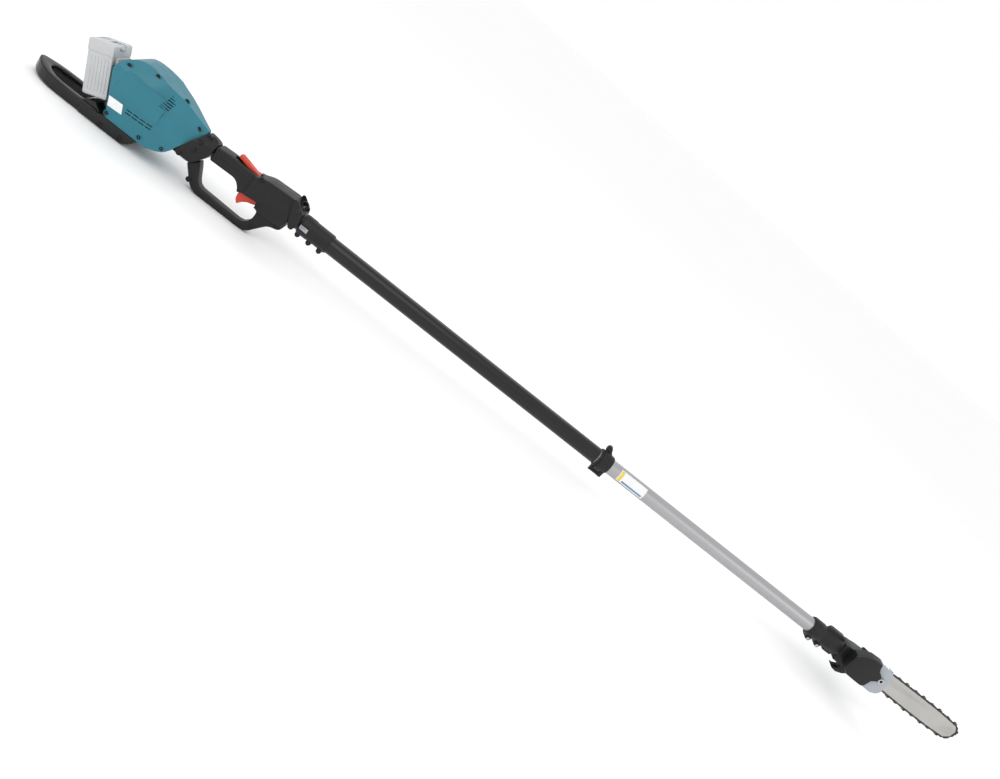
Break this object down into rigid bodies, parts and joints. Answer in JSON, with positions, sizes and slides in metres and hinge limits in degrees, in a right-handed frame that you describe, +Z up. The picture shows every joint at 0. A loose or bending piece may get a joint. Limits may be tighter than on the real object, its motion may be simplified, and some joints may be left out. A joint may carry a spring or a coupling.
{
  "type": "telescoping pole saw",
  "caption": "Long battery pole saw: teal motor housing with rear guard loop, D-shaped handle, telescoping two-stage pole and a small chainsaw head with guide bar and branch hook.",
  "frame": {"origin": "middle of the bounding box in plan, at the lowest point, which is the underside of the D-handle", "axes": "+X along the pole towards the saw tip, +Z up with the trigger below the grip, -Y the side with the sprocket cover"},
  "size_m": [2.6442, 0.124, 0.173],
  "materials": {
    "teal_plastic": "satin moulded",
    "black_plastic": "fine texture",
    "dark_plastic": "matt",
    "red_plastic": "satin",
    "pale_plastic": "satin",
    "grey_plastic": "satin",
    "black_tube": "semi-gloss coat",
    "silver_tube": "satin anodised",
    "bar_steel": "brushed",
    "chain_steel": "dark",
    "steel": "bright",
    "dark_steel": "black oxide",
    "alloy": "cast",
    "copper": "wound wire",
    "rubber": "matt"
  },
  "bodies": {
    "housing": {"motor_housing_right": "teal_plastic", "motor_housing_left": "teal_plastic", "motor_stator": "copper", "motor_bearing_rear": "steel", "motor_bearing_front": "steel", "controller": "alloy", "battery_dock": "dark_plastic", "guard_loop": "black_plastic", "neck_housing_right": "black_plastic", "neck_housing_left": "black_plastic", "handle_right": "black_plastic", "handle_left": "black_plastic", "trigger_pin": "steel", "trigger_spring": "steel", "lock_off_pin": "steel", "lock_off_spring": "steel", "switch_unit": "dark_plastic", "hanger_bracket": "black_plastic", "hanger_bolt": "dark_steel", "pole_clamp_right": "black_plastic", "pole_clamp_left": "black_plastic", "outer_tube": "black_tube", "shaft_bush_rear": "rubber", "lock_collar": "black_plastic", "lock_lever_pin": "steel", "guide_bush": "rubber"},
    "rotor": {"motor_rotor": "steel", "cooling_fan": "dark_plastic", "drive_shaft_rear": "steel"},
    "inner_pole": {"inner_tube": "silver_tube", "inner_tube_tail_bush": "rubber", "shaft_bush_front": "rubber", "head_clamp": "black_plastic", "head_clamp_screw_1": "steel", "head_clamp_screw_2": "steel", "gear_case": "black_plastic", "input_bearing": "steel", "output_bearing_near": "steel", "output_bearing_far": "steel", "guide_bar": "bar_steel", "saw_chain": "chain_steel", "sprocket_cover": "grey_plastic", "bar_nut": "steel", "head_cover": "black_plastic", "oil_tank": "teal_plastic", "branch_hook": "black_plastic"},
    "front_shaft": {"drive_shaft_front": "steel", "bevel_pinion": "steel"},
    "sprocket_shaft": {"bevel_gear": "steel", "output_shaft": "steel", "drive_sprocket": "steel"},
    "battery": {"battery_case": "pale_plastic", "battery_lid": "pale_plastic", "battery_cells": "steel"},
    "battery_release": {"battery_button": "pale_plastic"},
    "trigger_body": {"trigger": "red_plastic"},
    "lock_off_body": {"lock_off_lever": "red_plastic"},
    "lock_lever_body": {"lock_lever": "black_plastic"},
    "ring_body": {"hanger_ring": "dark_steel"},
    "oil_cap_body": {"oil_cap": "black_plastic"}
  },
  "joints": [
    {"name": "motor_spin", "type": "hinge", "parent": "housing", "child": "rotor", "pos_m": [-1.0611, 0, 0.097], "axis": [1, 0, 0], "continuous": true},
    {"name": "pole_extend", "type": "slide", "parent": "housing", "child": "inner_pole", "axis": [1, 0, 0], "range_m": [0, 0.6]},
    {"name": "front_shaft_spin", "type": "hinge", "parent": "inner_pole", "child": "front_shaft", "pos_m": [0.8739, 0, 0.097], "axis": [1, 0, 0], "continuous": true},
    {"name": "sprocket_spin", "type": "hinge", "parent": "inner_pole", "child": "sprocket_shaft", "pos_m": [0.9889, 0, 0.097], "axis": [0, 1, 0], "continuous": true},
    {"name": "battery_slide", "type": "slide", "parent": "housing", "child": "battery", "axis": [-0.342, 0, 0.9397], "range_m": [0, 0.112]},
    {"name": "battery_button_press", "type": "slide", "parent": "battery", "child": "battery_release", "axis": [-0.9397, 0, -0.342], "range_m": [0, 0.004], "stiffness_N_per_m": 800},
    {"name": "trigger_pull", "type": "hinge", "parent": "housing", "child": "trigger_body", "pos_m": [-0.7901, 0, 0.075], "axis": [0, 1, 0], "range_deg": [0, 12], "stiffness_Nm_per_rad": 0.6},
    {"name": "lock_off_press", "type": "hinge", "parent": "housing", "child": "lock_off_body", "pos_m": [-0.8261, 0, 0.1175], "axis": [0, -1, 0], "range_deg": [0, 9], "stiffness_Nm_per_rad": 0.4},
    {"name": "lock_lever_open", "type": "hinge", "parent": "housing", "child": "lock_lever_body", "pos_m": [0.1639, -0.008, 0.0675], "axis": [1, 0, 0], "range_deg": [0, 100]},
    {"name": "hanger_ring_swing", "type": "hinge", "parent": "housing", "child": "ring_body", "pos_m": [-0.7126, 0, 0.1245], "axis": [0, 1, 0], "range_deg": [0, 55]},
    {"name": "oil_cap_turn", "type": "hinge", "parent": "inner_pole", "child": "oil_cap_body", "pos_m": [1.0199, 0.0365, 0.117], "axis": [0, 0, 1], "range_deg": [0, 90]}
  ],
  "couplings": [
    {"joint": "front_shaft_spin", "follows": "motor_spin", "ratio": 1},
    {"joint": "sprocket_spin", "follows": "motor_spin", "ratio": 0.66667}
  ]
}
